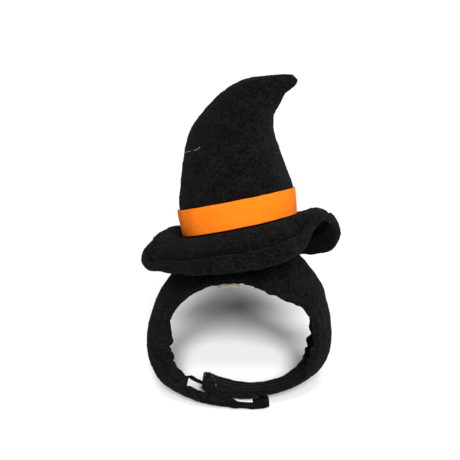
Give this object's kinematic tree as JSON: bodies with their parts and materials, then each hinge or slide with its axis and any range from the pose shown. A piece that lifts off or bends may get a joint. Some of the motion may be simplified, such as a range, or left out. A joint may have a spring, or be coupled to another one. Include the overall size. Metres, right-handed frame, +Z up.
{
  "type": "pet witch hat",
  "caption": "Black fleece witch hat for a small pet: stuffed curved crown with an orange felt band, a drooping brim and a padded ring headband closed by lapped hook-and-loop tails.",
  "frame": {"origin": "centre of the head opening in the ring headband, midway through its width", "axes": "+Z up toward the crown's tip, +X to the right seen from the front, +Y toward the back; the head passes through along Y"},
  "size_m": [0.1447, 0.1272, 0.2428],
  "materials": {
    "black_fleece": "napped polyester fleece",
    "orange_felt": "pressed craft felt",
    "fibre_fill": "loose polyester fibre",
    "white_hook_tape": "woven hook tape",
    "black_loop_tape": "woven loop tape",
    "black_thread": "spun polyester sewing thread",
    "woven_label": "plain woven ribbon, blank"
  },
  "bodies": {
    "hat": {"blank_label": "woven_label", "brim_bottom_panel": "black_fleece", "brim_top_panel": "black_fleece", "brim_topstitch_thread": "black_thread", "brim_wadding": "fibre_fill", "crown_back_panel": "black_fleece", "crown_base_disc": "black_fleece", "crown_front_panel": "black_fleece", "crown_stuffing": "fibre_fill", "felt_hat_band": "orange_felt", "hat_tack_left": "black_thread", "hat_tack_right": "black_thread", "headband_lining": "black_fleece", "headband_outer_panel": "black_fleece", "headband_padding": "fibre_fill"},
    "left_tail": {"left_strap_outer_panel": "black_fleece", "left_strap_lining": "black_fleece", "hook_tape": "white_hook_tape", "hook_tape_stitching": "white_hook_tape"},
    "right_tail": {"right_strap_outer_panel": "black_fleece", "right_strap_lining": "black_fleece", "loop_tape": "black_loop_tape", "loop_tape_stitching": "black_thread"}
  },
  "joints": [
    {"name": "left_tail_bend", "type": "hinge", "parent": "hat", "child": "left_tail", "pos_m": [-0.06866, 0, -0.00077], "axis": [0, 1, 0], "range_deg": [0, 75]},
    {"name": "right_tail_bend", "type": "hinge", "parent": "hat", "child": "right_tail", "pos_m": [0.05666, 0, -0.0078], "axis": [0, 1, 0], "range_deg": [0, 30]}
  ]
}
